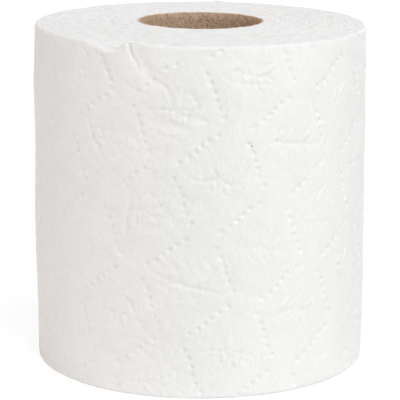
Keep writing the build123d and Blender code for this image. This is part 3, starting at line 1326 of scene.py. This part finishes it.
def greyboard(name, brown, dark, pale):
    """Matt greyboard: a ground with a soft grain, dark and pale specks, and a pale seam."""
    material, tree = new_material(name)
    place = add_node(tree, "ShaderNodeTexCoord").outputs["Object"]
    grain = add_node(tree, "ShaderNodeTexNoise", inputs={
        "Vector": place, "Scale": 1 / (grain_size * MM), "Detail": 4.0, "Roughness": 0.65})
    specks = add_node(tree, "ShaderNodeTexNoise", inputs={
        "Vector": place, "Scale": 1 / (speck_size * MM), "Detail": 2.0, "Roughness": 0.6})
    warm = add_node(tree, "ShaderNodeMapRange", inputs={
        "Value": grain.outputs[0], "From Min": grain_range[0], "From Max": grain_range[1],
        "To Max": grain_share})
    ground = add_node(tree, "ShaderNodeMix", {"data_type": "RGBA"}, {
        "Factor": warm.outputs[0], "A": linear(brown), "B": linear(pale)})
    dark_specks = add_node(tree, "ShaderNodeMapRange", inputs={
        "Value": specks.outputs[0], "From Min": dark_range[0], "From Max": dark_range[1]})
    with_dark = add_node(tree, "ShaderNodeMix", {"data_type": "RGBA"}, {
        "Factor": dark_specks.outputs[0], "A": ground.outputs["Result"], "B": linear(dark)})
    pale_specks = add_node(tree, "ShaderNodeMapRange", inputs={
        "Value": specks.outputs[0], "From Min": pale_range[0], "From Max": pale_range[1],
        "To Max": pale_share})
    with_pale = add_node(tree, "ShaderNodeMix", {"data_type": "RGBA"}, {
        "Factor": pale_specks.outputs[0], "A": with_dark.outputs["Result"], "B": linear(pale)})
    seam = add_node(tree, "ShaderNodeAttribute", {"attribute_name": "seam"})
    colour = add_node(tree, "ShaderNodeMix", {"data_type": "RGBA"}, {
        "Factor": seam.outputs["Fac"], "A": with_pale.outputs["Result"], "B": linear(seam_pale)})
    bump = add_node(tree, "ShaderNodeBump", inputs={
        "Strength": speck_bump[0], "Distance": speck_bump[1] * MM, "Height": specks.outputs[0]})
    surface = add_node(tree, "ShaderNodeBsdfPrincipled", inputs={
        "Base Color": colour.outputs["Result"], "Roughness": board_roughness, "IOR": board_ior,
        "Specular IOR Level": board_specular, "Normal": bump.outputs[0]})
    add_node(tree, "ShaderNodeOutputMaterial", inputs={"Surface": surface.outputs[0]})
    return material


board = greyboard("spiral_wound_greyboard", board_brown, board_dark, board_pale)
board_cut = greyboard("sawn_greyboard_edge", cut_pale, board_brown, seam_pale)
print("made", board.name, "and", board_cut.name)

# %% [markdown]
# The tube
#
# The tube is a closed line, the section of its wall, carried once round the axis. A fine seam would
# need a fine grid all over. Here the grid is sheared along the helix instead, so that its columns
# run along the seam all the way, and the seam costs only a few extra columns.
# The saw has left the cut edges a little wavy, and on the right of the upper one fibres stand up.

# %% Section of the core
wall_rows = 44
edge_rows = 5
edge_round = 0.12
seam_half = 0.2
seam_depth = 0.2
seam_lip = 0.1
seam_lip_place = 1.6  # in half widths of the seam


def core_section():
    """Section of the tube's wall as one closed line of (radius, height), with eased corners.

    It goes up the inside, out over the top edge, down the outside and in under the bottom edge, and
    tells which points belong to the cut edges.
    """
    heights = np.linspace(edge_round, sheet_width - edge_round, wall_rows)
    across = np.linspace(bore_radius + edge_round, core_radius - edge_round, edge_rows)
    radius = np.concatenate([np.full(wall_rows, bore_radius), across,
                             np.full(wall_rows, core_radius), across[::-1]])
    height = np.concatenate([heights, np.full(edge_rows, sheet_width),
                             heights[::-1], np.zeros(edge_rows)])
    cut = np.concatenate([np.zeros(wall_rows), np.ones(edge_rows),
                          np.zeros(wall_rows), np.ones(edge_rows)])
    return radius, height, cut


def seam_profile(offset):
    """Groove of the butt seam, with one lip raised: a V across the seam and a bell beside it."""
    groove = seam_depth * np.maximum(1 - np.abs(offset) / seam_half, 0)
    lip = seam_lip * np.exp(-(((offset - seam_lip_place * seam_half) / seam_half) ** 2))
    return groove - lip


wall_points = len(core_section()[0])
print(f"{wall_points} points go round the wall, which is {core_radius - bore_radius:.2f} mm thick")

# %% The core
seam_pitch = 90.0
seam_top_angle = math.radians(63.3)
seam_pale_reach = 1.1  # in half widths of the seam
seam_columns = 9
seam_reach = 1.2
round_columns = 150
edge_wave = 0.14
edge_wave_size = (2.5, 0.3)  # round the tube, across its wall
edge_wave_shift = 60
fray_angle = math.radians(8)
fray_reach = math.radians(13)
fray_height = 0.5
fray_size = (0.8, 0.4)
fray_shift = 70


def add_core():
    """The tube, on a grid that is sheared along the helix of its seam.

    The angle of a point is the seam's angle at its height plus its own turn away from the seam. The
    cut edges get a soft wave, and one stretch of the upper one is frayed: a noise cut off at zero,
    inside a bell curve of the angle.
    """
    radius, height, cut = core_section()
    near = np.linspace(-seam_reach, seam_reach, 2 * seam_columns + 1) / bore_radius
    far = np.linspace(near[-1], 2 * math.pi + near[0], round_columns)[1:-1]
    turn = np.concatenate([near, far])
    radius, turn = np.meshgrid(radius, turn, indexing="ij")
    height = np.broadcast_to(height[:, None], turn.shape)
    cut = np.broadcast_to(cut[:, None], turn.shape)
    angle = seam_top_angle + 2 * math.pi * (height - sheet_width) / seam_pitch + turn
    inner = radius < (bore_radius + core_radius) / 2
    offset = wrapped(turn, 2 * math.pi) * bore_radius
    sunk = radius + np.where(inner, seam_profile(offset), 0)
    arc = angle * bore_radius
    wave = soft_noise(arc / edge_wave_size[0] + edge_wave_shift, radius / edge_wave_size[1], 61)
    wave = edge_wave * wave * cut
    torn = np.exp(-((wrapped(angle - fray_angle, 2 * math.pi) / fray_reach) ** 2)) * cut
    fibres = np.maximum(soft_noise(arc / fray_size[0] + fray_shift, radius / fray_size[1], 62), 0)
    wave = wave + fray_height * torn * fibres * (height > mid_height)
    up = np.where(height > mid_height, height + wave, np.maximum(height + wave, 0))
    points = out_of_true(np.stack([sunk * np.cos(angle), sunk * np.sin(angle), up], axis=-1))
    quads = grid_quads(closed_numbers(turn.shape))[:, ::-1]
    sawn = cut.ravel()[quads].all(axis=1)
    piece = add_piece("core_tube", points.reshape(-1, 3), [quads], [board, board_cut],
                      "cardboard_core", face_materials=sawn)
    pale = np.where(inner, np.exp(-((offset / (seam_pale_reach * seam_half)) ** 4)), 0)
    attribute = piece.data.attributes.new("seam", "FLOAT", "POINT")
    attribute.data.foreach_set("value", pale.ravel().astype(np.float32))
    return piece


core = add_core()
print(f"the seam goes round {sheet_width / seam_pitch:.2f} times in the height of {core.name}")

# %% [markdown]
# The stage
#
# The roll was photographed on white. For the light that falls on the roll, the floor is plain white
# board and the world is a dim white room. For the camera's own rays, and those that a mirror or glass
# would pass on, the floor glows almost white by itself and adds only a little of the light that falls
# on it, so the background is white and a soft shadow stays under the roll.

# %% Floor
floor_half = 6.0
floor_white = "#FCFCFC"
floor_shadow_share = 0.3
floor_glow = 0.82


def seen_directly(tree):
    """1 for rays from the camera, a mirror or glass and 0 for others: the largest of three outputs."""
    path = add_node(tree, "ShaderNodeLightPath")
    either = add_node(tree, "ShaderNodeMath", {"operation": "MAXIMUM"}, {
        0: path.outputs["Is Camera Ray"], 1: path.outputs["Is Glossy Ray"]})
    return add_node(tree, "ShaderNodeMath", {"operation": "MAXIMUM"}, {
        0: either.outputs[0], 1: path.outputs["Is Transmission Ray"]}).outputs[0]


def white_floor():
    """Floor board: matt white, and nearly white by its own light as the camera sees it."""
    material, tree = new_material("white_floor_board")
    matt = add_node(tree, "ShaderNodeBsdfDiffuse", inputs={"Color": linear(floor_white)})
    dim = add_node(tree, "ShaderNodeBsdfDiffuse", inputs={"Color": [floor_shadow_share] * 3 + [1.0]})
    glow = add_node(tree, "ShaderNodeEmission", inputs={"Strength": floor_glow})
    shown = add_node(tree, "ShaderNodeAddShader", inputs={0: dim.outputs[0], 1: glow.outputs[0]})
    mix = add_node(tree, "ShaderNodeMixShader", inputs={
        0: seen_directly(tree), 1: matt.outputs[0], 2: shown.outputs[0]})
    add_node(tree, "ShaderNodeOutputMaterial", inputs={"Surface": mix.outputs[0]})
    return material


floor_mesh = bpy.data.meshes.new("floor")
floor_corners = [(-floor_half, -floor_half, 0), (floor_half, -floor_half, 0),
                 (floor_half, floor_half, 0), (-floor_half, floor_half, 0)]
floor_mesh.from_pydata(floor_corners, [], [(0, 1, 2, 3)])
floor_mesh.materials.append(white_floor())
floor = bpy.data.objects.new("floor", floor_mesh)
bpy.context.scene.collection.objects.link(floor)
print(f"the floor is {2 * floor_half:.0f} m across")

# %% World
ambient = "#F6F6F6"
ambient_strength = 0.2
world = bpy.data.worlds.new("white_studio")
world.use_nodes = True
sky = world.node_tree
sky.nodes.clear()
sky_light = add_node(sky, "ShaderNodeBackground", inputs={
    "Color": linear(ambient), "Strength": ambient_strength})
sky_shown = add_node(sky, "ShaderNodeBackground", inputs={"Color": linear("#FFFFFF"), "Strength": 1.0})
sky_mix = add_node(sky, "ShaderNodeMixShader", inputs={
    0: seen_directly(sky), 1: sky_light.outputs[0], 2: sky_shown.outputs[0]})
add_node(sky, "ShaderNodeOutputWorld", inputs={"Surface": sky_mix.outputs[0]})
bpy.context.scene.world = world
print("light of the room:", ambient_strength)

# %% [markdown]
# Light
#
# The right half of the roll is evenly bright, the left half falls off softly and is a little warmer,
# and the dots are shaded from above. That is a soft light at the front right, a larger and stronger
# one high above it, and a warm one far round to the left. The white room adds a little from all
# sides. A fourth lamp, behind the roll, only lights the back for the views from there.
# The power that a lamp needs for a wanted brightness on a matt white surface is pi squared times that
# brightness times the distance squared.

# %% Lamps
aim = Vector((0, 0, mid_height * MM))
lamps = [
    # name, azimuth, elevation, distance, size, brightness, colour
    ("key_softbox", 28, 38, 3.0, 1.0, 0.36, "#FFFFFF"),
    ("top_softbox", 40, 68, 3.0, 1.4, 0.49, "#FFFFFF"),
    ("left_fill", -90, 12, 3.0, 1.2, 0.285, "#FFF0E9"),
    ("back_fill", 160, 18, 3.0, 0.8, 0.26, "#FFFFFF"),
]


def add_lamp(name, azimuth, elevation, distance, size, brightness, colour):
    """A square area lamp that looks at the roll. Azimuth 0 is the front and 90 the right side.

    Its direction has the cosine of the elevation along the floor and its sine up.
    """
    turn = math.radians(azimuth)
    rise = math.radians(elevation)
    direction = Vector((
        math.sin(turn) * math.cos(rise), -math.cos(turn) * math.cos(rise), math.sin(rise)))
    data = bpy.data.lights.new(name, "AREA")
    data.size = size
    data.energy = math.pi**2 * brightness * distance**2
    data.color = linear(colour)[:3]
    lamp = bpy.data.objects.new(name, data)
    lamp.matrix_world = Matrix.Translation(aim + direction * distance) @ (
        direction.to_track_quat("Z", "Y").to_matrix().to_4x4())
    bpy.context.scene.collection.objects.link(lamp)
    print(f"{name}: {data.energy:.2f} W")
    return lamp


for lamp in lamps:
    add_lamp(*lamp)

# %% [markdown]
# The camera
#
# The lens and the place were worked out from the outline: the near and far rims of the roll and
# their curvature fix the distance and how far the camera looks down.

# %% Camera
camera_lens = 176.4
camera_sensor = 36.0
camera_place = Vector((0, -0.6309, 0.1957))
camera_down = math.radians(12.925)
camera_roll = math.radians(0.14)

camera_data = bpy.data.cameras.new("camera")
camera_data.lens = camera_lens
camera_data.sensor_width = camera_sensor
camera = bpy.data.objects.new("camera", camera_data)
camera.matrix_world = (
    Matrix.Translation(camera_place)
    @ Matrix.Rotation(math.radians(90) - camera_down, 4, "X")
    @ Matrix.Rotation(camera_roll, 4, "Z")
)
bpy.context.scene.collection.objects.link(camera)
bpy.context.scene.camera = camera
bpy.context.scene.view_settings.view_transform = "Standard"
print(f"the camera stands {(camera_place - aim).length * 1000:.0f} mm from the middle of the roll")

# %% [markdown]
# Finish
#
# The view layer is brought up to date, and that ends the script.

# %% Update
bpy.context.view_layer.update()
